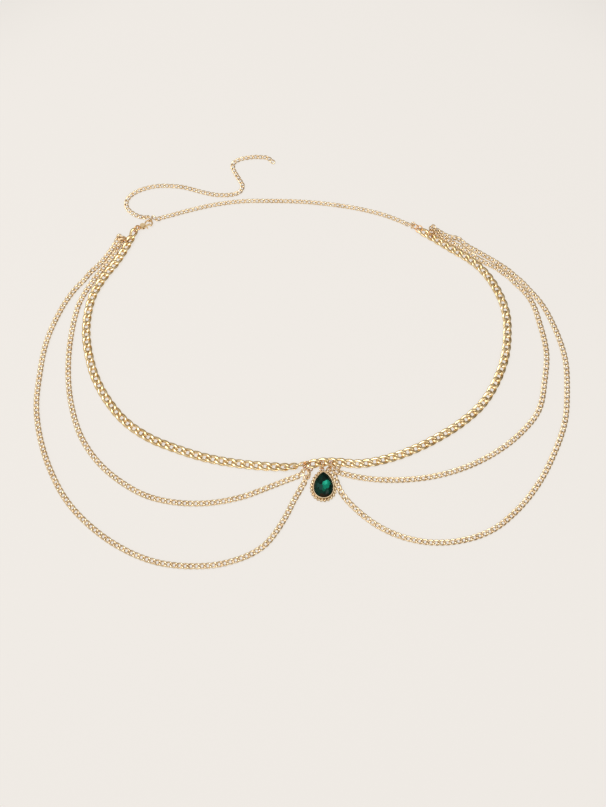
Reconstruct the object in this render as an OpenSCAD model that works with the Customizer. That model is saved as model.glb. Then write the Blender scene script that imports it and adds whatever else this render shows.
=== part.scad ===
// Waist chain: a thick curb chain that closes with a lobster clasp,
// two swags of fine curb chain on each side, a free tail and a green pear drop.
// It lies flat. +X is to the right, +Y away from the viewer, +Z up.

/* [Thick chain] */
// Length that one thick link adds to the chain
thick_pitch = 5.4; // [5.2:0.05:5.7]
// Width across the thick links
thick_width = 5.4; // [5.2:0.05:5.8]
// Diameter of the thick links' wire
thick_wire = 1.2; // [1:0.05:1.25]
// Play between thick links where they bear on each other
thick_play = 0.15; // [0.12:0.01:0.25]

/* [Fine chains] */
// Width across the fine chains
fine_width = 3.3; // [2.6:0.1:3.4]
// Height of a fine chain that lies flat
fine_height = 1.56; // [1.2:0.02:1.6]
// Diameter of the fine links' wire
fine_wire = 0.73; // [0.6:0.01:0.76]
// Length of the one fine link in the clasp's hook
hooked_length = 5; // [4.8:0.1:5.2]
// Width of that link
hooked_width = 3.6; // [3.5:0.05:3.7]

/* [Jump rings] */
// Wire of the jump rings
ring_wire = 0.76; // [0.6:0.02:0.8]
// Mean diameter of the ring between the clasp and the thick chain
clasp_ring_d = 4.8; // [4.7:0.05:4.9]
// Mean diameter of the two rings that hold the swags behind
swag_ring_d = 4.6; // [4.5:0.05:4.7]
// Mean diameter of the upright ring at the end of the back chain
back_ring_d = 4.2; // [4.1:0.05:4.3]
// Mean diameter of the ring between the back chain and the thick chain
right_ring_d = 4.4; // [4.3:0.05:4.5]
// Mean diameter of the ring that joins the two thick halves in front
centre_ring_d = 4.6; // [4.5:0.05:4.7]
// Mean diameter of the two rings that hold the swags in front
front_swag_ring_d = 4.4; // [4.3:0.05:4.5]
// Mean diameter of the upright ring that the pendant hangs from
pendant_ring_d = 4.8; // [4.7:0.05:4.9]

/* [Clasp] */
// Thickness of the clasp's base
clasp_t = 2.8; // [2.7:0.05:3]
// Diameter of the clasp's round base
base_d = 4; // [3.8:0.1:4.2]
// Distance from the eyelet's centre to the middle of the hook
hook_reach = 7.8; // [7.6:0.1:8]
// Mean diameter of the hook
hook_d = 4.7; // [4.6:0.05:4.9]
// Diameter of the hook's wire
hook_wire = 1.1; // [1:0.02:1.14]
// Mean diameter of the clasp's eyelet
eyelet_d = 2.9; // [2.8:0.05:3]
// Diameter of the eyelet's wire
eyelet_wire = 0.9; // [0.8:0.02:0.96]
// Diameter of the lever's pin
pin_d = 0.8; // [0.6:0.05:0.9]
// Play between the pin and the lever's bore, on the radius
pin_play = 0.05; // [0.03:0.01:0.08]
// Thickness of the lever
lever_t = 1; // [0.8:0.05:1.1]
// Width of the lever's arm
lever_w = 0.9; // [0.7:0.05:1]
// Play between the lever and the walls of its slot
slot_play = 0.1; // [0.08:0.01:0.15]

/* [Pendant] */
// Width of the stone
stone_w = 11.6; // [10.5:0.1:11.8]
// Length of the stone from its round end to its point
stone_l = 15.6; // [15:0.1:16.5]
// Height of the stone's girdle above the ground
girdle_z = 3; // [2.8:0.1:3.1]
// Height of the stone's table above the ground
table_z = 5; // [4.6:0.1:5.4]
// Width of the table as a share of the stone
table_share = 0.6; // [0.5:0.01:0.7]
// Play between the stone and its bezel
stone_play = 0.1; // [0.08:0.01:0.15]
// Wall of the bezel
bezel_wall = 0.5; // [0.4:0.05:0.55]
// Height of the bezel
bezel_h = 3.4; // [3.2:0.1:3.6]
// Thickness of the pendant's back plate
plate_t = 0.8; // [0.6:0.05:0.9]
// Diameter of the twisted rope round the bezel
rope_d = 1.7; // [1.5:0.05:1.8]
// Number of turns of the rope
rope_turns = 24; // [20:1:26]
// Mean diameter of the loop on the pendant
loop_d = 2.6; // [2.5:0.05:2.8]
// Diameter of the loop's wire
loop_wire = 0.8; // [0.7:0.02:0.9]

/* [Hidden] */
$fn = 48;

gold = [0.83, 0.66, 0.36];
pale_gold = [0.86, 0.71, 0.52];
ring_gold = [0.80, 0.58, 0.33];
green = [0.03, 0.36, 0.20];

// Middle of the lying piece, which becomes the origin
middle = [0.3, 0.4, 0];

// Routes as they lie: x and y of chosen points and, where the chain is raised, how far
LEFT_ROUTE = [[-115.5, 79.8], [-117.5, 74.8], [-119.8, 69.6], [-122.5, 63.5], [-127, 55.5],
    [-131, 49.5], [-134.5, 43], [-138, 35], [-139.8, 27], [-140.6, 18], [-140.5, 9],
    [-139.3, 0], [-137.3, -8.5], [-131.5, -25], [-122, -41], [-110, -54.5], [-94.5, -65],
    [-77.5, -72], [-60, -77.5], [-42, -81], [-23.5, -83], [-12, -83.6], [-7, -83.5],
    [-1.8, -82.7]];
RIGHT_ROUTE = [[6.3, -81.6], [11.6, -80.8], [17, -80.4], [22.4, -80.6], [32, -81.5],
    [50, -78.7], [67, -72.8], [83.3, -64.7], [98.5, -55], [112, -43], [122, -28],
    [129, -11.5], [132.3, 6.3], [132.7, 20], [130.8, 30], [127.8, 38.5], [123.5, 47],
    [118.5, 54], [110, 61.8], [101, 68], [90.8, 75.4], [86.3, 78.6], [81.9, 81.5]];
BACK_ROUTE = [[-102.8, 93.7], [-97.5, 93.5], [-92, 95], [-81.7, 98.3], [-62.2, 103.7], [-42.3, 106.7],
    [-22, 107], [-2, 106.4], [18.2, 104.3], [38, 100.7], [57.4, 94.9], [71.5, 88.2], [73.6, 87, 0.2]];
TAIL_ROUTE = [[-106.2, 91.9, 2.1], [-108.1, 93, 1.1], [-110.9, 94, 0.1], [-114.6, 95.4], [-118.3, 97.9],
    [-121.4, 101.5], [-122.1, 106.3], [-120.3, 110.5], [-117.2, 113.5], [-113.6, 115.7],
    [-109.7, 117.3], [-101.6, 119.2], [-93.2, 119.3], [-84.7, 118.5], [-76.3, 116.2],
    [-68, 113.6], [-59.8, 111.9], [-51.3, 111.9], [-47.2, 112.7], [-43.6, 115],
    [-42.2, 119.3], [-44.1, 123.8], [-46.5, 128.1], [-48.7, 132.5], [-49.4, 137.4],
    [-46.3, 140.7], [-42.3, 142.4], [-38, 143.2], [-33.8, 143.7], [-29.6, 143.5],
    [-25.3, 142.9], [-21.8, 140]];
MID_LEFT_ROUTE = [[-122.7, 74.2, 0.4], [-124, 70.9], [-126.5, 65.3], [-130.8, 58.1], [-135, 51.8], [-140, 43.5],
    [-144.3, 34.7], [-147, 27.5], [-148.6, 19.5], [-149.6, 10], [-150.1, -8],
    [-148.4, -27.3], [-144.1, -46], [-136.8, -64], [-125.4, -79.7], [-110.6, -92.2],
    [-93.6, -101.4], [-74.7, -105.5], [-55.3, -105.6], [-36.3, -101.9], [-18.2, -95.1],
    [-7, -90.7], [-3.7, -89.5], [-0.9, -88.2, 0.3]];
OUTER_LEFT_ROUTE = [[-125, 77.4, 0.6], [-127.2, 72.4], [-129.7, 67.5], [-133.9, 60.3], [-137.8, 55.3],
    [-142, 50.5], [-145.3, 45.3], [-149.5, 40], [-155, 31], [-159.4, 20.8], [-165.5, -0.3],
    [-167.1, -22.2], [-166.7, -44.1], [-161.7, -65.5], [-153.1, -85.8], [-141.4, -104.3],
    [-125.7, -119.7], [-107.5, -131.9], [-87.2, -140.2], [-65.4, -143], [-43.6, -140.8],
    [-23.7, -131.8], [-10.6, -114.5], [-4.8, -103], [-2.2, -98.5], [0, -94.5], [2, -91, 0.3]];
MID_RIGHT_ROUTE = [[90.8, 81.4, 0.3], [93.5, 79.4], [98.7, 75.4], [103.8, 71.9], [108.4, 68.7], [112.7, 65.5],
    [116, 62.6], [119.5, 60], [125, 56.5], [129.2, 54.2], [133.2, 50.7], [137.2, 47.2],
    [141.2, 42.2], [145.2, 37.7], [149.2, 31.5], [154.2, 12.2], [156.2, -7.7],
    [152.9, -27.5], [147.2, -46.8], [134.3, -62], [118.2, -74.1], [100.2, -83.1],
    [81, -88.9], [61, -91.4], [41, -90.9], [30.5, -89.2], [24, -87.5], [20.9, -86.5, 0.2]];
OUTER_RIGHT_ROUTE = [[90.6, 81.6, 2.2], [93, 79.7, 2], [97, 77.3, 2.1], [101.1, 76.1, 2.1], [105.1, 75.7, 1.3],
    [109.3, 72.6], [113.3, 69.5], [117.3, 67], [121.3, 64.2], [125.3, 61.5], [129.3, 58.6],
    [133.3, 55.5], [137.3, 52.2], [141.1, 48.1], [145.2, 43.9], [149.2, 38.5], [156, 28.7],
    [163.8, 8.7], [167.7, -12.3], [166.4, -33.6], [162.5, -54.8], [153.9, -74.4],
    [142.8, -92.9], [128.7, -109.1], [111.5, -122.1], [91, -128.5], [69.6, -128.6],
    [49, -122], [31.7, -109.5], [26, -103.5], [24.4, -101.5, 0.3], [22.4, -98.6, 1.4],
    [20.9, -95.5, 2.3], [19.9, -92.5, 2.3], [18.9, -89.2, 2.2], [18.2, -87, 2.3]];

// Links that don't lie flat: which one (from the end if negative), lift, yaw, pitch, roll
LEFT_TURNS = [[0, 0.65, 0, -8, 10], [1, 0.1, 0, -1, 3], [-5, 0.05, 0, 1, -1],
    [-4, 0.3, 0, 2, -6], [-3, 0.75, 0, 4, -19], [-2, 1.15, 0, 4, -38], [-1, 1.25, 0, 2, -57]];
RIGHT_TURNS = [[0, 0.55, 0, -7, 8], [1, 0.1, 0, -1, 2], [-2, 0.1, 0, 1, -2], [-1, 0.55, 0, 7, -8]];

// Jump rings: x, y, height of the centre, turn about Z, tilt of the ring's plane
CLASP_RING = [-113.3, 83.5, 2.75, 53, 91];
LEFT_SWAG_RING = [-120, 75.7, 1.95, 148.5, 42];
BACK_RING = [76.5, 85.2, 2.5, -25, 82];
RIGHT_RING = [79, 83.6, 2.1, -35, 30];
RIGHT_SWAG_RING = [87.1, 80.7, 2.2, 65, 49];
CENTRE_RING = [2.2, -82.5, 2.3, 14, 43];
CENTRE_LEFT_RING = [3.6, -84.4, 1.6, 145, 34];
PENDANT_RING = [11.4, -82.7, 2.7, 94, 105];
CENTRE_RIGHT_RING = [16.7, -82.7, 2.4, 84, 113];

// The clasp: eyelet's centre, turn about Z, height of its middle
CLASP_AT = [-112.4, 84.95, clasp_t / 2];
CLASP_TURN = 27;
// The fine link in the hook: centre, turn, pitch and roll
HOOKED_AT = [-104.25, 91.4, 1.8];
HOOKED_TURN = [51, 9.5, 19];
// Centre of the loop on the pendant, where its upright ring holds it
LOOP_AT = [11.3, -85.2, 2.2];
// How far the stone's axis lies to the loop's right, and the loop's centre beyond the rope
LOOP_SIDE = 1;
LOOP_SEAT = 0.55;

// ---- Smooth routes ----
function unit(v) = v / norm(v);
function lifted(P) = [for (p = P) [p[0], p[1], len(p) > 2 ? p[2] : 0]];
function slope(P, i) =
    i == 0 ? unit(P[1] - P[0]) :
    i == len(P) - 1 ? unit(P[i] - P[i - 1]) :
    let (a = norm(P[i] - P[i - 1]), b = norm(P[i + 1] - P[i]))
    ((P[i] - P[i - 1]) * b / a + (P[i + 1] - P[i]) * a / b) / (a + b);
function smooth(P, k = 8) =
    let (M = [for (i = [0 : len(P) - 1]) slope(P, i)])
    [for (i = [0 : len(P) - 2], j = [0 : k - 1])
        let (t = j / k, d = norm(P[i + 1] - P[i]))
        (2 * t * t * t - 3 * t * t + 1) * P[i] + (t * t * t - 2 * t * t + t) * d * M[i]
        + (3 * t * t - 2 * t * t * t) * P[i + 1] + (t * t * t - t * t) * d * M[i + 1],
        P[len(P) - 1]];
function lengths(Q) = [for (i = 0, s = 0; i < len(Q);
    s = i < len(Q) - 1 ? s + norm(Q[i + 1] - Q[i]) : s, i = i + 1) s];
function track(P) =
    let (Q = [for (q = smooth(lifted(P))) [q[0], q[1], max(q[2], 0)]], S = lengths(Q))
    [for (k = [0 : 2]) [for (i = [0 : len(Q) - 1]) [S[i], Q[i][k]]]];
function total(K) = K[0][len(K[0]) - 1][0];
function at(K, s) = [lookup(s, K[0]), lookup(s, K[1]), lookup(s, K[2])];
function heading(K, s, step) =
    at(K, min(s + step / 2, total(K))) - at(K, max(s - step / 2, 0));

// ---- Curb links ----
// A link's wire follows an oval of half length a and half width b that is twisted by the
// rise h, so that each link passes over and under the next. The wire has six sides.
LINK_CUTS = 10;
WIRE_SIDES = 6;
function half_length(step, wire, play) = (step + wire + play) / 2 / cos(180 / LINK_CUTS);
function rise(wire, play) = 1.19 * (wire + play) / 2;
function link_points(a, b, h, r) = [for (i = [0 : LINK_CUTS - 1])
    let (t = (i + 0.5) * 360 / LINK_CUTS,
        c = [a * cos(t), b * sin(t), h * sin(2 * t)],
        T = unit([-a * sin(t), b * cos(t), 2 * h * cos(2 * t)]),
        N = unit(cross(T, [0, 0, 1])),
        B = cross(N, T))
    for (j = [0 : WIRE_SIDES - 1])
        c + r * (cos(j * 360 / WIRE_SIDES) * N + sin(j * 360 / WIRE_SIDES) * B)];
LINK_FACES = [for (i = [0 : LINK_CUTS - 1], j = [0 : WIRE_SIDES - 1])
    let (i2 = (i + 1) % LINK_CUTS, j2 = (j + 1) % WIRE_SIDES,
        p = i * WIRE_SIDES + j, q = i * WIRE_SIDES + j2,
        u = i2 * WIRE_SIDES + j, v = i2 * WIRE_SIDES + j2)
    each [[p, q, v], [p, v, u]]];

module link(step, width, wire, play) {
    polyhedron(link_points(half_length(step, wire, play), (width - wire) / 2,
        rise(wire, play), wire / 2), LINK_FACES);
}

function rest_height(step, width, wire, play) = -min([for (p = link_points(
    half_length(step, wire, play), (width - wire) / 2, rise(wire, play), wire / 2)) p[2]]);

module chain(route, turns) {
    K = track(route);
    n = round(total(K) / thick_pitch);
    step = total(K) / n;
    low = rest_height(step, thick_width, thick_wire, thick_play);
    for (i = [0 : n]) {
        p = at(K, i * step);
        d = heading(K, i * step, step);
        found = [for (t = turns) if (t[0] == i || t[0] == i - n - 1) t];
        t = len(found) > 0 ? found[0] : [i, 0, 0, 0, 0];
        translate([p[0], p[1], p[2] + low + t[1]])
            rotate([t[4], -t[3], atan2(d[1], d[0]) + t[2]])
                link(step, thick_width, thick_wire, thick_play);
    }
}

// ---- Fine chains as plain swept solids ----
// Each is one flattened eight-sided tube with a cut every few widths.
TUBE_SIDES = 8;
module strand(route, spacing) {
    K = track(route);
    n = round(total(K) / (spacing * fine_width));
    flat = 1 / cos(180 / TUBE_SIDES);
    points = [for (i = [0 : n])
        let (s = i * total(K) / n,
            c = at(K, s),
            d = unit(heading(K, s, 1)),
            N = unit([-d[1], d[0], 0]),
            B = cross(d, N))
        for (j = [0 : TUBE_SIDES - 1])
            let (f = (j + 0.5) * 360 / TUBE_SIDES)
            c + [0, 0, fine_height / 2] + flat / 2 * (fine_width * cos(f) * N
                + fine_height * sin(f) * B)];
    faces = [[for (j = [0 : TUBE_SIDES - 1]) j],
        [for (j = [TUBE_SIDES - 1 : -1 : 0]) n * TUBE_SIDES + j],
        for (i = [0 : n - 1], j = [0 : TUBE_SIDES - 1])
            let (j2 = (j + 1) % TUBE_SIDES,
                p = i * TUBE_SIDES + j, q = i * TUBE_SIDES + j2,
                u = p + TUBE_SIDES, v = q + TUBE_SIDES)
            each [[p, v, q], [p, u, v]]];
    polyhedron(points, faces);
}

// ---- Jump rings ----
module torus(d, wire) {
    rotate_extrude() translate([d / 2, 0]) circle(d = wire, $fn = 24);
}

module ring(pose, d, wire = ring_wire) {
    translate([pose[0], pose[1], pose[2]])
        rotate([0, 0, pose[3]]) rotate([pose[4], 0, 0]) torus(d, wire);
}

module laid() {
    translate(-middle) children();
}

module thick_chain_left() {
    color(gold) laid() chain(LEFT_ROUTE, LEFT_TURNS);
}

module thick_chain_right() {
    color(gold) laid() chain(RIGHT_ROUTE, RIGHT_TURNS);
}

module back_chain() {
    color(pale_gold) laid() strand(BACK_ROUTE, 3);
}

module tail_chain() {
    color(pale_gold) laid() strand(TAIL_ROUTE, 2);
}

module swag_mid_left() {
    color(pale_gold) laid() strand(MID_LEFT_ROUTE, 3);
}

module swag_outer_left() {
    color(pale_gold) laid() strand(OUTER_LEFT_ROUTE, 3);
}

module swag_mid_right() {
    color(pale_gold) laid() strand(MID_RIGHT_ROUTE, 3);
}

module swag_outer_right() {
    color(pale_gold) laid() strand(OUTER_RIGHT_ROUTE, 3);
}

module clasp_ring() {
    color(ring_gold) laid() ring(CLASP_RING, clasp_ring_d);
}

module left_swag_ring() {
    color(ring_gold) laid() ring(LEFT_SWAG_RING, swag_ring_d);
}

module back_ring() {
    color(ring_gold) laid() ring(BACK_RING, back_ring_d);
}

module right_ring() {
    color(ring_gold) laid() ring(RIGHT_RING, right_ring_d);
}

module right_swag_ring() {
    color(ring_gold) laid() ring(RIGHT_SWAG_RING, swag_ring_d);
}

module centre_ring() {
    color(ring_gold) laid() ring(CENTRE_RING, centre_ring_d);
}

module centre_left_ring() {
    color(ring_gold) laid() ring(CENTRE_LEFT_RING, front_swag_ring_d);
}

module pendant_ring() {
    color(ring_gold) laid() ring(PENDANT_RING, pendant_ring_d);
}

module centre_right_ring() {
    color(ring_gold) laid() ring(CENTRE_RIGHT_RING, front_swag_ring_d);
}

// ---- Lobster clasp ----
// Along its own axis: the eyelet at the origin, then the round base with the lever's slot,
// then the open hook. The lever turns on a pin through the base and closes the hook.
base_at = [base_d / 2 + eyelet_d / 2 - 0.15, -0.2];
pin_at = [base_at[0] + 0.7, base_at[1] - 0.8];
hook_r = hook_d / 2;
HOOK_TIP = -75;
HOOK_BACK = 155;
hook_start = [hook_reach + hook_r * cos(HOOK_BACK), hook_r * sin(HOOK_BACK)];
lever_end = [hook_reach + 0.35, -0.9];
slot_w = lever_t + 2 * slot_play;
rim = 0.5;
// The lever's eye round the pin, and its thumb piece: distance from the pin, and length
LEVER_EYE_D = 2;
THUMB_AT = 1.1;
THUMB_L = 2;

module in_clasp() {
    translate(CLASP_AT) rotate([0, 0, CLASP_TURN]) children();
}

module rod(from, to, d) {
    v = to - from;
    translate([from[0], from[1], 0]) rotate([0, 90, atan2(v[1], v[0])])
        cylinder(d = d, h = norm(v), $fn = 24);
}

module clasp_base() {
    translate([base_at[0], base_at[1], 0]) intersection() {
        cylinder(d = base_d, h = clasp_t, center = true);
        sphere(d = norm([base_d, clasp_t]) - rim);
    }
}

module hook() {
    translate([hook_reach, 0, 0]) {
        rotate([0, 0, HOOK_TIP]) rotate_extrude(angle = HOOK_BACK - HOOK_TIP)
            translate([hook_r, 0]) circle(d = hook_wire, $fn = 24);
        rotate([0, 0, HOOK_TIP]) translate([hook_r, 0, 0]) sphere(d = hook_wire + 0.16, $fn = 24);
    }
    rod([base_at[0] + 0.4, 0.6], hook_start, hook_wire - 0.06);
    translate([hook_start[0], hook_start[1], 0]) sphere(d = hook_wire + 0.1, $fn = 24);
}

module clasp_body() {
    color(pale_gold) laid() in_clasp() {
        difference() {
            union() {
                torus(eyelet_d, eyelet_wire);
                clasp_base();
                hook();
            }
            translate([base_at[0] - 0.6, -base_d, -slot_w / 2])
                cube([base_d, base_d + 0.35, slot_w]);
        }
        translate([pin_at[0], pin_at[1], -clasp_t / 2 + rim / 2])
            cylinder(d = pin_d, h = clasp_t - rim);
    }
}

module clasp_lever() {
    color(ring_gold) laid() in_clasp() difference() {
        translate([0, 0, -lever_t / 2]) linear_extrude(lever_t) {
            translate(pin_at) circle(d = LEVER_EYE_D);
            translate(lever_end) circle(d = lever_w, $fn = 24);
            translate([pin_at[0], lever_end[1] - lever_w / 2])
                square([lever_end[0] - pin_at[0], lever_w]);
            translate([pin_at[0] + THUMB_AT, lever_end[1] - THUMB_L]) square([lever_w, THUMB_L]);
            translate([pin_at[0] + THUMB_AT + lever_w / 2, lever_end[1] - THUMB_L])
                circle(d = lever_w, $fn = 24);
        }
        translate([pin_at[0], pin_at[1], -lever_t])
            cylinder(d = pin_d + 2 * pin_play, h = 2 * lever_t);
    }
}

module hooked_link() {
    color(pale_gold) laid() translate(HOOKED_AT)
        rotate([HOOKED_TURN[2], -HOOKED_TURN[1], HOOKED_TURN[0]]) rotate([90, 0, 0])
            polyhedron(link_points((hooked_length - fine_wire) / 2,
                (hooked_width - fine_wire) / 2, rise(fine_wire, 0.09), fine_wire / 2), LINK_FACES);
}

// ---- Pendant ----
// Pear outline grown by d: a round end and two side arcs that meet in a point.
half_w = stone_w / 2;
point_l = stone_l - half_w;
side_r = (half_w * half_w + point_l * point_l) / (2 * half_w);
side_x = side_r - half_w;
function pear_tip(d) = sqrt((side_r + d) * (side_r + d) - side_x * side_x);

module pear(d) {
    circle(r = half_w + d, $fn = 96);
    intersection() {
        translate([-side_x, 0]) circle(r = side_r + d, $fn = 160);
        translate([side_x, 0]) circle(r = side_r + d, $fn = 160);
        translate([-half_w - d, 0]) square([2 * (half_w + d), 2 * side_r]);
    }
}

// Point on the pear's outline and the outline's heading there, at share f of the way
// from the tip round the right side to the bottom and back up the left side
function side_turn(d) = acos(side_x / (side_r + d));
function pear_run(d) = side_turn(d) * PI / 180 * (side_r + d);
function pear_length(d) = 2 * pear_run(d) + PI * (half_w + d);
function pear_at(d, s) =
    s < pear_run(d) ?
        let (a = side_turn(d) - s / (side_r + d) * 180 / PI)
        [-side_x + (side_r + d) * cos(a), (side_r + d) * sin(a), a - 90] :
    s > pear_length(d) - pear_run(d) ?
        let (a = 180 - side_turn(d) + (pear_length(d) - s) / (side_r + d) * 180 / PI)
        [side_x + (side_r + d) * cos(a), (side_r + d) * sin(a), a - 90] :
        let (a = -(s - pear_run(d)) / (half_w + d) * 180 / PI)
        [(half_w + d) * cos(a), (half_w + d) * sin(a), a - 90];

rope_off = stone_play + bezel_wall + rope_d / 2 - 0.1;
rope_long = rope_d * 0.5;
ROPE_GAP = 1.6;
ROPE_SLANT = 38;

// The stone hangs from its loop: the middle of its round end lies this far below
loop_reach = point_l + rope_off + LOOP_SEAT;
pear_place = [LOOP_AT[0] + LOOP_SIDE, LOOP_AT[1] - loop_reach, 0];

module rope_turn_at(p) {
    translate([p[0], p[1], rope_d / 2]) rotate([0, 0, p[2] + ROPE_SLANT]) {
        for (x = [-1, 1]) translate([x * rope_long / 2, 0, 0]) sphere(d = rope_d, $fn = 24);
        rotate([0, 90, 0])
            cylinder(d = rope_d - 0.06, h = rope_long, center = true, $fn = 24);
    }
}

module pendant_setting() {
    color(gold) laid() translate(pear_place) {
        difference() {
            linear_extrude(bezel_h) pear(stone_play + bezel_wall);
            translate([0, 0, plate_t]) linear_extrude(bezel_h) pear(stone_play);
        }
        linear_extrude(plate_t) pear(rope_off);
        step = (pear_length(rope_off) - 2 * ROPE_GAP) / (rope_turns - 1);
        for (i = [0 : rope_turns - 1]) rope_turn_at(pear_at(rope_off, ROPE_GAP + i * step));
        translate([-LOOP_SIDE, loop_reach, LOOP_AT[2]]) torus(loop_d, loop_wire);
    }
}

// The stone: rings of points on the pear's outline, shares of the stone's half width
STONE_CUTS = 16;
// Height of the first row of facets under the girdle
PAVILION_H = 1.1;
function pear_ring(d, z, n, off = 0) = [for (i = [0 : n - 1])
    let (p = pear_at(d, (i + off) / n * pear_length(d))) [p[0], p[1], z]];

module pendant_stone() {
    n = STONE_CUTS;
    girdle = pear_ring(0, girdle_z - 0.15, n);
    top = pear_ring(0, girdle_z + 0.15, n);
    centre = [0, point_l * 0.2, 0];
    function shrink(P, k, z) = [for (p = P) [centre[0] + k * (p[0] - centre[0]),
        centre[1] + k * (p[1] - centre[1]), z]];
    mid = shrink(pear_ring(0, 0, n, 0.5), 0.84, girdle_z + 0.65 * (table_z - girdle_z));
    table = shrink(top, table_share, table_z);
    low = shrink(pear_ring(0, 0, n, 0.5), 0.6, girdle_z - PAVILION_H);
    keel = [centre[0], centre[1], plate_t + 0.3];
    points = concat(girdle, top, mid, table, low, [keel]);
    faces = [
        for (i = [0 : n - 1]) let (j = (i + 1) % n) each [
            [i, j, n + j], [i, n + j, n + i],
            [n + i, n + j, 2 * n + i],
            [2 * n + i, n + j, 2 * n + j],
            [2 * n + i, 3 * n + j, 3 * n + i],
            [2 * n + i, 2 * n + j, 3 * n + j],
            [j, i, 4 * n + i], [j, 4 * n + i, 4 * n + j],
            [4 * n + j, 4 * n + i, 5 * n]],
        [for (i = [0 : n - 1]) 3 * n + i]];
    color(green) laid() translate(pear_place) polyhedron(points, faces);
}

thick_chain_left();
thick_chain_right();
back_chain();
tail_chain();
swag_mid_left();
swag_outer_left();
swag_mid_right();
swag_outer_right();
clasp_body();
clasp_lever();
hooked_link();
clasp_ring();
left_swag_ring();
back_ring();
right_ring();
right_swag_ring();
centre_ring();
centre_left_ring();
pendant_ring();
centre_right_ring();
pendant_setting();
pendant_stone();
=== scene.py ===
# A waist chain lying flat on a table: two thick curb chains carry four fine ones as swags and a
# pear-shaped green glass drop in a rope-like rim; a fine chain runs round the back, and a lobster
# clasp holds one link between it and the free tail. Gold-plated brass, joined by jump rings.
# All sizes are in metres and all angles in degrees.
import math

import bmesh
import bpy
from mathutils import Matrix, Vector


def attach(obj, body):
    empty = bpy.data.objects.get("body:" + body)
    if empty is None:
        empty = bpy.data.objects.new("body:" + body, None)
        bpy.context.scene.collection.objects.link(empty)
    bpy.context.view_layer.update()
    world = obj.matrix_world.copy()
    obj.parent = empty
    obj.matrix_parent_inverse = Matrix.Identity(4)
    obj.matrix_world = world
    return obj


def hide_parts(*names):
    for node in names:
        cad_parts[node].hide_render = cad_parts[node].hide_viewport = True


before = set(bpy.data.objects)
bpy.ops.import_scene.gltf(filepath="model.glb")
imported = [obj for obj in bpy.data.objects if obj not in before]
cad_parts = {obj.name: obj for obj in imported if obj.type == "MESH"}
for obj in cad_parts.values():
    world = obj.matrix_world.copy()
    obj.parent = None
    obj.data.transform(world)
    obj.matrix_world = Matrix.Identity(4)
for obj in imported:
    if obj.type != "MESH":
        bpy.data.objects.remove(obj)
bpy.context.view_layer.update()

# ---- Camera ----
# It stands above the near side of the table and looks down at about 70 degrees, as in the
# photograph.
EYE = Vector((-0.0003, -0.2076, 0.4539))
AIM = Vector((-0.0003, -0.0424, 0))
LENS, SENSOR = 34.35, 36  # millimetres
camera = bpy.data.objects.new("camera", bpy.data.cameras.new("camera"))
camera.data.lens = LENS
camera.data.sensor_width = SENSOR
camera.location = EYE
camera.rotation_euler = (AIM - EYE).to_track_quat("-Z", "Y").to_euler()
bpy.context.collection.objects.link(camera)
bpy.context.scene.camera = camera

# ---- Thick curb chains ----
# The waist line round the front: one chain from the clasp's ring to the drop, and one from there
# to the back chain's ring. Gold-plated brass wire, bent to twisted ovals that are closed one
# through the other, and the finished chain is rolled flat.
THICK_PITCH, THICK_WIDTH, THICK_WIRE = 0.0054, 0.0059, 0.002
THICK_PLAY = 0.0001  # room along the chain between the wires of two links
THICK_TWIST = 0.75  # how far the wire climbs over its neighbour, as a share of wire and play
THICK_FLAT = 0.5  # share of the height that rolling leaves
THICK_LOW = 0.00126  # height of a link's middle when it lies on the table
THICK_CUTS, THICK_SIDES = 12, 8  # round the link and round its wire
MIDDLE = Vector((0.0003, 0.0004, 0))  # taken off every place, so that the piece is centred
LEFT_ROUTE = [(-0.1155, 0.0798), (-0.1175, 0.0748), (-0.1198, 0.0696), (-0.1225, 0.0635),
    (-0.127, 0.0555), (-0.131, 0.0495), (-0.1345, 0.043), (-0.138, 0.035), (-0.1398, 0.027),
    (-0.1406, 0.018), (-0.1405, 0.009), (-0.1393, 0), (-0.1373, -0.0085), (-0.1315, -0.025),
    (-0.122, -0.041), (-0.11, -0.0545), (-0.0945, -0.065), (-0.0775, -0.072), (-0.06, -0.0775),
    (-0.042, -0.081), (-0.0235, -0.083), (-0.012, -0.0836), (-0.007, -0.0835), (-0.0018, -0.0827)]
RIGHT_ROUTE = [(0.0063, -0.0816), (0.0116, -0.0808), (0.017, -0.0804), (0.0224, -0.0806),
    (0.032, -0.0815), (0.05, -0.0787), (0.067, -0.0728), (0.0833, -0.0647), (0.0985, -0.055),
    (0.112, -0.043), (0.122, -0.028), (0.129, -0.0115), (0.1323, 0.0063), (0.1327, 0.02),
    (0.1308, 0.03), (0.1278, 0.0385), (0.1235, 0.047), (0.1185, 0.054), (0.11, 0.0618),
    (0.101, 0.068), (0.0908, 0.0754), (0.0863, 0.0786), (0.0819, 0.0815)]
# links that twist up to the drop: number counted back from the end, lift, then yaw, pitch, roll
LEFT_TURNS = ((-5, 0.00005, 0, 1, -1), (-4, 0.0003, 0, 2, -6))
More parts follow.
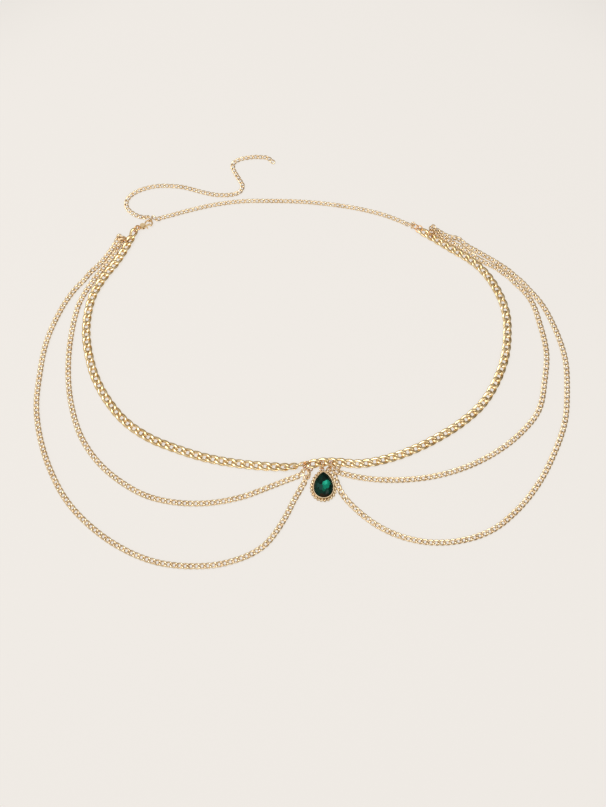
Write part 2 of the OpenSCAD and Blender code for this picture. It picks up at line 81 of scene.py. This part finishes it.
# links that hang in a ring or in the other chain, from the end inwards: place, yaw, pitch, roll
LEFT_START = ((-0.11542, 0.07984, 0.0019, -110.2, -8.9, 11.5),
              (-0.1175, 0.07481, 0.00139, -112.7, -1.1, 3.6),
              (-0.11962, 0.06994, 0.00125, -113.9, 0.2, 0.2))
LEFT_END = ((-0.00204, -0.08254, 0.00277, 14.9, 1.1, -61),
            (-0.00721, -0.08347, 0.00248, 2.2, 6.4, -32.5),
            (-0.01239, -0.08368, 0.00189, -1.6, 3.2, -18.4))
RIGHT_START = ((0.00621, -0.08169, 0.00211, 12.6, -1.3, 8.9),
               (0.01145, -0.08069, 0.00158, 8.9, -3.2, 4),
               (0.01701, -0.08038, 0.00139, -3.2, -0.7, -1.2))
RIGHT_END = ((0.0821, 0.0812, 0.00175, 148.7, 5.9, -7.6),
             (0.08641, 0.07856, 0.00134, 144.1, 1.2, -2.3),
             (0.09084, 0.07534, 0.00138, 143.9, 0.6, 0.5),
             (0.09496, 0.07234, 0.0013, 143.5, 0.6, 1.3))
# the solid that each chain stands for, and the chain's name, route, turned links, hanging ones at
# the start and end, and how many plain ones those replace
THICK_CHAINS = {
    "thick_chain_left": ("thick_left_links", LEFT_ROUTE, LEFT_TURNS, LEFT_START, LEFT_END, (3, 3)),
    "thick_chain_right": ("thick_right_links", RIGHT_ROUTE, (), RIGHT_START, RIGHT_END, (3, 4)),
}


def smooth_route(points, cuts=8):
    """Points and running lengths of the smooth curve through a route, never below the table."""
    row = [Vector((p[0], p[1], p[2] if len(p) > 2 else 0)) - MIDDLE for p in points]
    gaps = [(b - a).length for a, b in zip(row, row[1:])]
    slopes = [(row[1] - row[0]) / gaps[0]]
    for i in range(1, len(row) - 1):
        a, b = gaps[i - 1], gaps[i]
        slopes.append(((row[i] - row[i - 1]) * b / a + (row[i + 1] - row[i]) * a / b) / (a + b))
    slopes.append((row[-1] - row[-2]) / gaps[-1])
    curve = []
    for i, gap in enumerate(gaps):
        for j in range(cuts):
            t = j / cuts
            curve.append((2 * t**3 - 3 * t * t + 1) * row[i]
                         + (t**3 - 2 * t * t + t) * gap * slopes[i]
                         + (3 * t * t - 2 * t**3) * row[i + 1]
                         + (t**3 - t * t) * gap * slopes[i + 1])
    curve.append(row[-1])
    for p in curve:
        p.z = max(p.z, 0)
    run = [0]
    for a, b in zip(curve, curve[1:]):
        run.append(run[-1] + (b - a).length)
    return curve, run


def point_at(length, curve, run):
    """The point of a smooth route at a running length."""
    length = min(max(length, 0), run[-1])
    i = 0
    while i < len(run) - 2 and run[i + 1] < length:
        i += 1
    return curve[i].lerp(curve[i + 1], (length - run[i]) / (run[i + 1] - run[i]))


def placed(place, yaw, pitch, roll):
    """Where and how a link lies, as a matrix."""
    return (Matrix.Translation(place) @ Matrix.Rotation(math.radians(yaw), 4, "Z")
            @ Matrix.Rotation(math.radians(-pitch), 4, "Y")
            @ Matrix.Rotation(math.radians(roll), 4, "X"))


def link_places(points, pitch, low, turns, start, end, dropped):
    """A matrix for each link of a chain. The plain links lie at equal steps along the route, and
    turns lifts and turns some of them, by their number from the start or back from the end. start
    and end are the links that hang in a ring, from the ring inwards, in place of the dropped."""
    curve, run = smooth_route(points)
    count = round(run[-1] / pitch)
    step = run[-1] / count
    laid = []
    for i in range(count + 1):
        here = point_at(i * step, curve, run)
        way = (point_at(i * step + step / 2, curve, run)
               - point_at(i * step - step / 2, curve, run))
        lift, yaw, tilt, roll = 0, 0, 0, 0
        for number, *turn in turns:
            if number in (i, i - count - 1):
                lift, yaw, tilt, roll = turn
        yaw += math.degrees(math.atan2(way.y, way.x))
        tilt += math.degrees(math.atan2(way.z, math.hypot(way.x, way.y)))
        laid.append(placed(here + Vector((0, 0, low + lift)), yaw, tilt, roll))
    first, last = [[placed(Vector(link[:3]) - MIDDLE, *link[3:]) for link in row]
                   for row in (start, end)]
    return first + laid[dropped[0]:len(laid) - dropped[1]] + last[::-1]


def smoothing_gain(step):
    """How much larger a regular ring of corners has to be, because one subdivision moves each
    corner by an eighth towards each of its neighbours."""
    return 8 / (6 + 2 * math.cos(step))


def curb_link(pitch, width, wire, play, twist, flat, cuts, sides):
    """One curb link: a full spin of the wire's circle, drawn out to an oval, twisted so that it
    passes over and under its neighbours, and rolled flat."""
    half_length, half_width = (pitch + wire + play) / 2, (width - wire) / 2
    oval_gain = smoothing_gain(2 * math.pi / cuts)
    twist_gain = smoothing_gain(4 * math.pi / cuts)
    radius = wire / 2 * smoothing_gain(2 * math.pi / sides)
    bm = bmesh.new()
    circle = bmesh.ops.create_circle(bm, segments=sides, radius=radius)["verts"]
    bmesh.ops.rotate(bm, verts=circle, cent=(0, 0, 0), matrix=Matrix.Rotation(math.pi / 2, 3, "X"))
    bmesh.ops.translate(bm, verts=circle, vec=(half_width, 0, 0))
    bmesh.ops.spin(bm, geom=bm.verts[:] + bm.edges[:], cent=(0, 0, 0), axis=(0, 0, 1),
                   angle=2 * math.pi, steps=cuts, use_merge=True, use_duplicate=False)
    a, b, rise = half_length * oval_gain, half_width * oval_gain, twist * (wire + play) * twist_gain
    for v in bm.verts:
        t = math.atan2(v.co.y, v.co.x)
        out, over = math.hypot(v.co.x, v.co.y) - half_width, v.co.z
        centre = Vector((a * math.cos(t), b * math.sin(t), rise * math.sin(2 * t)))
        along_wire = Vector((-a * math.sin(t), b * math.cos(t), 2 * rise * math.cos(2 * t)))
        along_wire.normalize()
        outward = along_wire.cross(Vector((0, 0, 1))).normalized()
        v.co = centre + out * outward + over * outward.cross(along_wire)
        v.co.z *= flat
    bmesh.ops.recalc_face_normals(bm, faces=bm.faces[:])
    mesh = bpy.data.meshes.new("curb_link")
    bm.to_mesh(mesh)
    bm.free()
    return mesh


def lay(name, link, places, material, replaced):
    """Makes one piece of a link laid at each place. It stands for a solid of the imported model."""
    bm = bmesh.new()
    for place in places:
        bm.from_mesh(link)
        bm.verts.ensure_lookup_table()
        bmesh.ops.transform(bm, matrix=place, verts=bm.verts[-len(link.vertices):])
    for face in bm.faces:
        face.smooth = True
    mesh = bpy.data.meshes.new(name)
    bm.to_mesh(mesh)
    bm.free()
    mesh.materials.append(material)
    piece = bpy.data.objects.new(name, mesh)
    bpy.context.collection.objects.link(piece)
    rounded = piece.modifiers.new("rounded", "SUBSURF")
    rounded.levels = rounded.render_levels = 1
    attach(piece, "chain")
    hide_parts(replaced)


CLOUD_SCALE, CLOUD_DETAIL = 220, 3  # noise that turns in about the length of a thick link
TINT_FROM, TINT_TO = 0.35, 0.62  # where in the clouds the deep tint ends and the bright one begins
MARK_SCALE, MARK_DETAIL, MARK_DEPTH = 2600, 2, 0.00003  # polishing marks under half a millimetre
GLOSSIER, DULLER = 0.06, 0.08  # how far the marks change the roughness


def plated(name, bright, deep, rough, grain):
    """Polished plated brass: its tint runs slowly from deep to bright along the wire, and fine
    marks change its gloss about rough and dent its surface by the share grain."""
    made = bpy.data.materials.new(name)
    made.use_nodes = True
    nodes, links = made.node_tree.nodes, made.node_tree.links
    shader = nodes["Principled BSDF"]
    shader.inputs["Metallic"].default_value = 1
    coords = nodes.new("ShaderNodeTexCoord")
    cloud = nodes.new("ShaderNodeTexNoise")
    cloud.inputs["Scale"].default_value = CLOUD_SCALE
    cloud.inputs["Detail"].default_value = CLOUD_DETAIL
    links.new(coords.outputs["Object"], cloud.inputs["Vector"])
    tint = nodes.new("ShaderNodeValToRGB")
    tint.color_ramp.elements[0].position = TINT_FROM
    tint.color_ramp.elements[0].color = (*deep, 1)
    tint.color_ramp.elements[1].position = TINT_TO
    tint.color_ramp.elements[1].color = (*bright, 1)
    links.new(cloud.outputs["Fac"], tint.inputs["Fac"])
    links.new(tint.outputs["Color"], shader.inputs["Base Color"])
    marks = nodes.new("ShaderNodeTexNoise")
    marks.inputs["Scale"].default_value = MARK_SCALE
    marks.inputs["Detail"].default_value = MARK_DETAIL
    links.new(coords.outputs["Object"], marks.inputs["Vector"])
    gloss = nodes.new("ShaderNodeMapRange")
    gloss.inputs["To Min"].default_value = rough - GLOSSIER
    gloss.inputs["To Max"].default_value = rough + DULLER
    links.new(marks.outputs["Fac"], gloss.inputs["Value"])
    links.new(gloss.outputs["Result"], shader.inputs["Roughness"])
    bump = nodes.new("ShaderNodeBump")
    bump.inputs["Strength"].default_value = grain
    bump.inputs["Distance"].default_value = MARK_DEPTH
    links.new(marks.outputs["Fac"], bump.inputs["Height"])
    links.new(bump.outputs["Normal"], shader.inputs["Normal"])
    return made


chain_gold = plated("chain_gold", (0.93, 0.74, 0.45), (0.77, 0.56, 0.28), rough=0.2, grain=0.15)
thick_link = curb_link(THICK_PITCH, THICK_WIDTH, THICK_WIRE, THICK_PLAY, THICK_TWIST, THICK_FLAT,
                       THICK_CUTS, THICK_SIDES)
for node, (name, route, *changes) in THICK_CHAINS.items():
    places = link_places(route, THICK_PITCH, THICK_LOW, *changes)
    lay(name, thick_link, places, chain_gold, node)

# ---- Fine curb chains ----
# The same kind of chain in finer wire with a paler plating: one closes the loop across the back,
# one hangs free beyond the clasp as the size extender, and four are looped from the sides to the
# centre as swags. Their last links hang in jump rings, or in the link that the clasp holds.
FINE_PITCH, FINE_PLAY, FINE_TWIST, FINE_FLAT = 0.0033, 0.00006, 0.595, 0.72
FINE_CUTS, FINE_SIDES = 10, 6
BACK_WIDTH, BACK_WIRE, BACK_LOW = 0.0034, 0.001, 0.00077  # the back chain and the tail
SWAG_WIDTH, SWAG_WIRE, SWAG_LOW = 0.00385, 0.00118, 0.0009
BACK_ROUTE = [(-0.1028, 0.0937), (-0.0975, 0.0935), (-0.092, 0.095), (-0.0817, 0.0983),
    (-0.0622, 0.1037), (-0.0423, 0.1067), (-0.022, 0.107), (-0.002, 0.1064), (0.0182, 0.1043),
    (0.038, 0.1007), (0.0574, 0.0949), (0.0715, 0.0882), (0.0736, 0.087, 0.0002)]
TAIL_ROUTE = [(-0.1062, 0.0919, 0.0021), (-0.1081, 0.093, 0.0011), (-0.1109, 0.094, 0.0001),
    (-0.1146, 0.0954), (-0.1183, 0.0979), (-0.1214, 0.1015), (-0.1221, 0.1063), (-0.1203, 0.1105),
    (-0.1172, 0.1135), (-0.1136, 0.1157), (-0.1097, 0.1173), (-0.1016, 0.1192), (-0.0932, 0.1193),
    (-0.0847, 0.1185), (-0.0763, 0.1162), (-0.068, 0.1136), (-0.0598, 0.1119), (-0.0513, 0.1119),
    (-0.0472, 0.1127), (-0.0436, 0.115), (-0.0422, 0.1193), (-0.0441, 0.1238), (-0.0465, 0.1281),
    (-0.0487, 0.1325), (-0.0494, 0.1374), (-0.0463, 0.1407), (-0.0423, 0.1424), (-0.038, 0.1432),
    (-0.0338, 0.1437), (-0.0296, 0.1435), (-0.0253, 0.1429), (-0.0218, 0.14)]
MID_LEFT_ROUTE = [(-0.1227, 0.0742, 0.0004), (-0.124, 0.0709), (-0.1265, 0.0653),
    (-0.1308, 0.0581), (-0.135, 0.0518), (-0.14, 0.0435), (-0.1443, 0.0347), (-0.147, 0.0275),
    (-0.1486, 0.0195), (-0.1496, 0.01), (-0.1501, -0.008), (-0.1484, -0.0273), (-0.1441, -0.046),
    (-0.1368, -0.064), (-0.1254, -0.0797), (-0.1106, -0.0922), (-0.0936, -0.1014),
    (-0.0747, -0.1055), (-0.0553, -0.1056), (-0.0363, -0.1019), (-0.0182, -0.0951),
    (-0.007, -0.0907), (-0.0037, -0.0895), (-0.0009, -0.0882, 0.0003)]
OUTER_LEFT_ROUTE = [(-0.125, 0.0774, 0.0006), (-0.1272, 0.0724), (-0.1297, 0.0675),
    (-0.1339, 0.0603), (-0.1378, 0.0553), (-0.142, 0.0505), (-0.1453, 0.0453), (-0.1495, 0.04),
    (-0.155, 0.031), (-0.1594, 0.0208), (-0.1655, -0.0003), (-0.1671, -0.0222),
    (-0.1667, -0.0441), (-0.1617, -0.0655), (-0.1531, -0.0858), (-0.1414, -0.1043),
    (-0.1257, -0.1197), (-0.1075, -0.1319), (-0.0872, -0.1402), (-0.0654, -0.143),
    (-0.0436, -0.1408), (-0.0237, -0.1318), (-0.0106, -0.1145), (-0.0048, -0.103),
    (-0.0022, -0.0985), (0, -0.0945), (0.002, -0.091, 0.0003)]
MID_RIGHT_ROUTE = [(0.0908, 0.0814, 0.0003), (0.0935, 0.0794), (0.0987, 0.0754), (0.1038, 0.0719),
    (0.1084, 0.0687), (0.1127, 0.0655), (0.116, 0.0626), (0.1195, 0.06), (0.125, 0.0565),
    (0.1292, 0.0542), (0.1332, 0.0507), (0.1372, 0.0472), (0.1412, 0.0422), (0.1452, 0.0377),
    (0.1492, 0.0315), (0.1542, 0.0122), (0.1562, -0.0077), (0.1529, -0.0275), (0.1472, -0.0468),
    (0.1343, -0.062), (0.1182, -0.0741), (0.1002, -0.0831), (0.081, -0.0889), (0.061, -0.0914),
    (0.041, -0.0909), (0.0305, -0.0892), (0.024, -0.0875), (0.0209, -0.0865, 0.0002)]
OUTER_RIGHT_ROUTE = [(0.0906, 0.0816, 0.0022), (0.093, 0.0797, 0.002), (0.097, 0.0773, 0.0021),
    (0.1011, 0.0761, 0.0021), (0.1051, 0.0757, 0.0013), (0.1093, 0.0726), (0.1133, 0.0695),
    (0.1173, 0.067), (0.1213, 0.0642), (0.1253, 0.0615), (0.1293, 0.0586), (0.1333, 0.0555),
    (0.1373, 0.0522), (0.1411, 0.0481), (0.1452, 0.0439), (0.1492, 0.0385), (0.156, 0.0287),
    (0.1638, 0.0087), (0.1677, -0.0123), (0.1664, -0.0336), (0.1625, -0.0548), (0.1539, -0.0744),
    (0.1428, -0.0929), (0.1287, -0.1091), (0.1115, -0.1221), (0.091, -0.1285), (0.0696, -0.1286),
    (0.049, -0.122), (0.0317, -0.1095), (0.026, -0.1035), (0.0244, -0.1015, 0.0003),
    (0.0224, -0.0986, 0.0014), (0.0209, -0.0955, 0.0023), (0.0199, -0.0925, 0.0023),
    (0.0189, -0.0892, 0.0022), (0.0182, -0.087, 0.0023)]
# links that a neighbour lifts or turns: number, lift, then yaw, pitch and roll
TAIL_TURNS = ((39, 0.00001, -0.3, 0.7, 1.1), (40, 0.00014, 0.2, 1.6, 0.9),
              (41, 0.00006, 0.7, 1.7, -1.7), (42, 0, -0.4, 0.3, -0.1))
MID_LEFT_TURNS = ((6, 0.0001, -0.1, -1.1, -3.2), (7, 0.00004, -3.2, -0.4, -2.7))
MID_RIGHT_TURNS = ((7, 0.00009, 0.7, 0.3, 1.3), (8, 0.00038, -1.9, 4.3, -0.3),
                   (9, 0.0004, 6.7, -11.9, -3.4), (10, 0.00002, -5.8, -0.8, -3.5))
OUTER_RIGHT_TURNS = ((7, 0.00005, 0.1, 0.6, -1.9), (8, 0.00012, 2.4, 0.8, -4.4),
                     (9, 0.00004, -0.1, 0, -1))
# links that hang in a ring or in the hooked link, from there inwards: place, yaw, pitch, roll
BACK_START = ((-0.10161, 0.09227, 0.00199, -21.2, -27.8, 68.8),
              (-0.09895, 0.09206, 0.00138, 44.3, -15.8, 15))
BACK_END = ((0.07478, 0.08668, 0.00186, -107.1, -21.7, -150.2),
            (0.07296, 0.08798, 0.00153, 167.4, -5.1, 52.5),
            (0.07075, 0.0886, 0.00078, -28.5, 0.3, -0.2))
TAIL_START = ((-0.10468, 0.0915, 0.00323, 131.8, 16.6, -95.8),
              (-0.10673, 0.09261, 0.00244, 168.5, -28.3, -133.6))
MID_LEFT_START = ((-0.12203, 0.07368, 0.00338, -137.8, 4.5, -60.7),
                  (-0.123, 0.07094, 0.00344, -92.3, 10.5, -113.9),
                  (-0.12405, 0.06975, 0.00213, -140.5, -1.8, -82.8),
                  (-0.12553, 0.0679, 0.0016, -112.5, -11.7, -149.6),
                  (-0.12663, 0.06513, 0.0009, -117.4, 0.4, -1.1),
                  (-0.12827, 0.0622, 0.00117, -123.8, 2.6, -14.1),
                  (-0.12994, 0.05941, 0.00118, -120.6, -1.6, -7.1))
MID_LEFT_END = ((0.00086, -0.08585, 0.0029, -146.8, 11.9, -74.2),
                (-0.00108, -0.08793, 0.00199, -153.8, -30.9, -158.2),
                (-0.00383, -0.08948, 0.00092, 22.5, 2.3, 0.1))
OUTER_LEFT_START = ((-0.12234, 0.07603, 0.00224, -158.9, 22.9, -36.1),
                    (-0.12423, 0.07641, 0.00272, 27.8, -82.3, -33.4),
                    (-0.12502, 0.07741, 0.00154, -113.7, -7.9, 0.8))
OUTER_LEFT_END = ((0.00354, -0.08752, 0.00282, -89.9, 12.4, -102.2),
                  (0.0033, -0.08909, 0.00165, -123, -21.8, 121.5),
                  (0.00146, -0.09106, 0.00134, -98, 6, 31.5),
                  (0.00041, -0.09383, 0.00093, 60.3, 2, 0.8))
MID_RIGHT_START = ((0.08952, 0.08234, 0.00131, 10.7, -20.7, -23),
                   (0.09158, 0.08068, 0.00134, -31.1, 19.3, -137),
                   (0.09347, 0.07938, 0.00094, -36, -1.8, 1.5))
MID_RIGHT_END = ((0.01775, -0.08394, 0.00393, 167.5, 22.2, -97),
                 (0.02061, -0.08453, 0.00397, 14.4, 19.6, 41.4),
                 (0.02155, -0.08538, 0.00272, -36.9, -82.8, -25.5),
                 (0.02083, -0.08646, 0.00126, 160.2, 3.5, -3.9),
                 (0.02401, -0.08753, 0.00094, 160.7, 2.4, 0))
OUTER_RIGHT_START = ((0.08714, 0.08357, 0.00312, 86, -24.1, -39.5),
                     (0.08898, 0.08367, 0.00335, -56.1, -13.1, 68.2),
                     (0.0906, 0.08158, 0.00376, -35.6, -1.4, 0.5),
                     (0.09322, 0.07967, 0.00377, -37.7, -2, 5),
                     (0.09599, 0.07791, 0.00355, -29.8, -0.9, 0.7),
                     (0.09898, 0.07661, 0.00347, -20.7, -0.1, 0.3),
                     (0.10222, 0.07598, 0.00322, 0.5, -11.6, 8),
                     (0.10523, 0.07554, 0.00229, -21.2, -14.4, -1.3),
                     (0.10794, 0.07381, 0.00137, -42.5, -14, -4.8))
OUTER_RIGHT_END = ((0.01584, -0.08555, 0.00264, -128.8, 38.6, 177.9),
                   (0.0173, -0.08757, 0.00333, -49.2, -1.2, -127.5),
                   (0.01923, -0.09027, 0.00323, -72.4, 3.4, 23.4),
                   (0.02019, -0.09331, 0.00322, 107.1, -1.9, 1),
                   (0.02125, -0.09634, 0.00305, 115, 11.3, -0.5))
# the solid that each chain stands for, and the chain's route, turned links, hanging ones at the
# start and end, and how many plain ones those replace
FINE_CHAINS = {
    "back_chain": (BACK_ROUTE, (), BACK_START, BACK_END, (2, 2)),
    "tail_chain": (TAIL_ROUTE, TAIL_TURNS, TAIL_START, (), (1, 0)),
    "swag_mid_left": (MID_LEFT_ROUTE, MID_LEFT_TURNS, MID_LEFT_START, MID_LEFT_END, (6, 2)),
    "swag_outer_left": (OUTER_LEFT_ROUTE, (), OUTER_LEFT_START, OUTER_LEFT_END, (1, 2)),
    "swag_mid_right": (MID_RIGHT_ROUTE, MID_RIGHT_TURNS, MID_RIGHT_START, MID_RIGHT_END, (2, 2)),
    "swag_outer_right": (OUTER_RIGHT_ROUTE, OUTER_RIGHT_TURNS, OUTER_RIGHT_START,
                         OUTER_RIGHT_END, (7, 4)),
}
pale_gold = plated("pale_gold", (0.91, 0.74, 0.50), (0.76, 0.57, 0.34), rough=0.2, grain=0.1)
back_link = curb_link(FINE_PITCH, BACK_WIDTH, BACK_WIRE, FINE_PLAY, FINE_TWIST, FINE_FLAT,
                      FINE_CUTS, FINE_SIDES)
swag_link = curb_link(FINE_PITCH, SWAG_WIDTH, SWAG_WIRE, FINE_PLAY, FINE_TWIST, FINE_FLAT,
                      FINE_CUTS, FINE_SIDES)
for node, (route, *changes) in FINE_CHAINS.items():
    link, low = (swag_link, SWAG_LOW) if node.startswith("swag") else (back_link, BACK_LOW)
    places = link_places(route, FINE_PITCH, low, *changes)
    lay(node + "_links", link, places, pale_gold, node)

# ---- Hooked link ----
# The one fine link that the clasp's hook goes through, between the back chain and the tail. It is
# an oval of thin round wire, twisted like the others but not rolled, and stands on its edge.
HOOKED_LENGTH, HOOKED_WIDTH, HOOKED_WIRE = 0.005, 0.0036, 0.0008
HOOKED_PLACE, HOOKED_TURN = (-0.10425, 0.0914, 0.0018), (51, 9.5, 109)
hooked_link = curb_link(HOOKED_LENGTH - 2 * HOOKED_WIRE, HOOKED_WIDTH, HOOKED_WIRE, play=0,
                        twist=FINE_TWIST, flat=1, cuts=FINE_CUTS, sides=FINE_SIDES)
lay("hooked_wire_link", hooked_link, [placed(Vector(HOOKED_PLACE) - MIDDLE, *HOOKED_TURN)],
    pale_gold, "hooked_link")

# ---- Lobster clasp ----
# A cast brass body with a hook and an eye, and a lever that a small spring holds shut, turning on
# a pin through the body. Polished and plated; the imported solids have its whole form.


def finish(node, material):
    """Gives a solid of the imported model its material."""
    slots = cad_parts[node].data.materials
    slots.clear()
    slots.append(material)


clasp_gold = plated("clasp_gold", (0.94, 0.72, 0.43), (0.78, 0.54, 0.27), rough=0.18, grain=0.1)
finish("clasp_body", clasp_gold)
finish("clasp_lever", clasp_gold)

# ---- Jump rings ----
# Round brass wire wound on a rod, cut into rings and closed: they join the chains, the clasp, the
# swags and the drop. Their plating is redder than that of the chains.
ring_gold = plated("ring_gold", (0.88, 0.56, 0.27), (0.64, 0.34, 0.13), rough=0.18, grain=0.1)
for ring in ("clasp_ring", "left_swag_ring", "back_ring", "right_ring", "right_swag_ring",
             "centre_ring", "centre_left_ring", "pendant_ring", "centre_right_ring"):
    finish(ring, ring_gold)

# ---- Setting of the drop ----
# A flat plate with a plain bezel round the stone, a rim of twisted wire round the bezel and a
# loop above, all soldered together and plated a little duller than the chains.
finish("pendant_setting", plated("rim_gold", (0.76, 0.62, 0.42), (0.60, 0.44, 0.26),
                                 rough=0.2, grain=0.12))

# ---- Stone of the drop ----
# A pear-shaped faceted piece of dark green glass with a mirrored back, held by the bezel. The
# facets of the back show through its flat top as small plain cells, and a painted highlight, a
# painted reflection and painted shade lie over some of them.
CELLS_PER_METRE = 600
DARKEST, PLAIN = (0.0004, 0.003, 0.002, 1), (0.002, 0.034, 0.022, 1)
PAINTED_OVAL_EDGE, PAINTED_OVAL_CORE = 1.15, 0.7  # where a painted oval ends and is full, as shares of its oval
# painted light and shade over the cells, each within a slanted oval and over those before it:
# painted shade in dark brown low on the stone, a faint grey-teal painted reflection at its left,
# and a bright green painted highlight with a brighter core. Columns: centre, turn, width, height
# and colour
PAINTED_LIGHT_AND_SHADE = (((0.0123, -0.1024), 0, 0.009, 0.0026, (0.02, 0.013, 0.006, 1)),
          ((0.0101, -0.0966), 18, 0.003, 0.005, (0.012, 0.058, 0.047, 1)),
          ((0.0136, -0.0957), -14, 0.0042, 0.0068, (0.001, 0.2, 0.12, 1)),
          ((0.0136, -0.0942), -14, 0.0028, 0.0036, (0.02, 0.48, 0.31, 1)))
green_glass = bpy.data.materials.new("green_glass")
green_glass.use_nodes = True
nodes, links = green_glass.node_tree.nodes, green_glass.node_tree.links
glass = nodes["Principled BSDF"]
coords = nodes.new("ShaderNodeTexCoord")
cells = nodes.new("ShaderNodeTexVoronoi")
cells.inputs["Scale"].default_value = CELLS_PER_METRE
links.new(coords.outputs["Object"], cells.inputs["Vector"])
greens = nodes.new("ShaderNodeValToRGB")
greens.color_ramp.elements[0].color = DARKEST
greens.color_ramp.elements[1].color = PLAIN
links.new(cells.outputs["Color"], greens.inputs["Fac"])
shown = greens.outputs["Color"]
# lays the painted shade, reflection and highlight over the cells, one oval at a time
for centre, turn, across, up, colour in PAINTED_LIGHT_AND_SHADE:
    oval = nodes.new("ShaderNodeMapping")
    oval.vector_type = "TEXTURE"
    oval.inputs["Location"].default_value = Vector((*centre, 0)) - MIDDLE
    oval.inputs["Rotation"].default_value = (0, 0, math.radians(turn))
    oval.inputs["Scale"].default_value = (across / 2, up / 2, 1)
    links.new(cells.outputs["Position"], oval.inputs["Vector"])
    reach = nodes.new("ShaderNodeVectorMath")
    reach.operation = "LENGTH"
    links.new(oval.outputs["Vector"], reach.inputs[0])
    inside = nodes.new("ShaderNodeMapRange")
    inside.interpolation_type = "SMOOTHSTEP"
    inside.inputs["From Min"].default_value = PAINTED_OVAL_EDGE
    inside.inputs["From Max"].default_value = PAINTED_OVAL_CORE
    links.new(reach.outputs["Value"], inside.inputs["Value"])
    mixed = nodes.new("ShaderNodeMix")
    mixed.data_type = "RGBA"
    links.new(inside.outputs["Result"], mixed.inputs["Factor"])
    links.new(shown, mixed.inputs["A"])
    mixed.inputs["B"].default_value = colour
    shown = mixed.outputs["Result"]
links.new(shown, glass.inputs["Base Color"])
glass.inputs["Roughness"].default_value = 0.07
glass.inputs["Specular IOR Level"].default_value = 0.12
finish("pendant_stone", green_glass)

# ---- Table top ----
# Matt pale paper that glows evenly where the jewel lies. Farther out its glow fades to a painted
# dark that stands for the dark of the room, so that the metal has something dark to mirror.
TABLE_HALF, TABLE_DROP = 3, 0.0002  # half its side, and how far it lies below the lowest links
NEAR, FAR = 0.3, 0.75  # where its painted glow begins and ends to fade
# strength of the paper's painted glow near the jewel and far from it
PAINTED_GLOW_NEAR, PAINTED_GLOW_FAR = 0.82, 0.12
bm = bmesh.new()
bmesh.ops.create_grid(bm, x_segments=1, y_segments=1, size=TABLE_HALF)
mesh = bpy.data.meshes.new("table_top")
bm.to_mesh(mesh)
bm.free()
table_top = bpy.data.objects.new("table_top", mesh)
table_top.location.z = -TABLE_DROP
bpy.context.collection.objects.link(table_top)
paper = bpy.data.materials.new("paper")
paper.use_nodes = True
nodes, links = paper.node_tree.nodes, paper.node_tree.links
matt = nodes["Principled BSDF"]
matt.inputs["Base Color"].default_value = (0.16, 0.155, 0.15, 1)
matt.inputs["Roughness"].default_value = 1
matt.inputs["Specular IOR Level"].default_value = 0
matt.inputs["Emission Color"].default_value = (0.871, 0.831, 0.783, 1)
coords = nodes.new("ShaderNodeTexCoord")
reach = nodes.new("ShaderNodeVectorMath")
reach.operation = "LENGTH"
links.new(coords.outputs["Object"], reach.inputs[0])
fade = nodes.new("ShaderNodeMapRange")
fade.interpolation_type = "SMOOTHSTEP"
fade.inputs["From Min"].default_value = NEAR
fade.inputs["From Max"].default_value = FAR
fade.inputs["To Min"].default_value = PAINTED_GLOW_NEAR
fade.inputs["To Max"].default_value = PAINTED_GLOW_FAR
links.new(reach.outputs["Value"], fade.inputs["Value"])
# the painted glow fades to painted dark with the distance from the middle
links.new(fade.outputs["Result"], matt.inputs["Emission Strength"])
mesh.materials.append(paper)

# ---- Light ----
# A wide soft light from above, a little stronger at the viewer's left and weak near the horizon,
# a lamp up at the left that puts the small highlights on the links, and a weak one at the right.
BRIGHTEST_WAY = (-0.33, -0.2, 0.92)
DARK_WITHIN, BRIGHT_FROM = -0.15, 0.95  # how far a direction goes the brightest way
DARK, BRIGHT = 0.14, 0.77
# name, place, size and power in watts
LAMPS = (("key", (-0.32, 0.05, 0.85), 0.42, 3), ("fill", (0.5, -0.5, 0.7), 0.35, 0.9))
bpy.context.scene.view_settings.view_transform = "Standard"
world = bpy.context.scene.world or bpy.data.worlds.new("world")
bpy.context.scene.world = world
world.use_nodes = True
nodes, links = world.node_tree.nodes, world.node_tree.links
sky = nodes.new("ShaderNodeTexCoord")
toward = nodes.new("ShaderNodeVectorMath")
toward.operation = "DOT_PRODUCT"
toward.inputs[1].default_value = BRIGHTEST_WAY
links.new(sky.outputs["Generated"], toward.inputs[0])
glow = nodes.new("ShaderNodeMapRange")
glow.interpolation_type = "SMOOTHSTEP"
glow.inputs["From Min"].default_value = DARK_WITHIN
glow.inputs["From Max"].default_value = BRIGHT_FROM
glow.inputs["To Min"].default_value = DARK
glow.inputs["To Max"].default_value = BRIGHT
links.new(toward.outputs["Value"], glow.inputs["Value"])
room = nodes["Background"]
room.inputs["Color"].default_value = (1, 0.97, 0.93, 1)
links.new(glow.outputs["Result"], room.inputs["Strength"])
for name, place, size, power in LAMPS:
    lamp = bpy.data.lights.new(name, "AREA")
    lamp.size = size
    lamp.energy = power
    light = bpy.data.objects.new(name, lamp)
    light.location = place
    light.rotation_euler = (-Vector(place)).to_track_quat("-Z", "Y").to_euler()
    bpy.context.collection.objects.link(light)
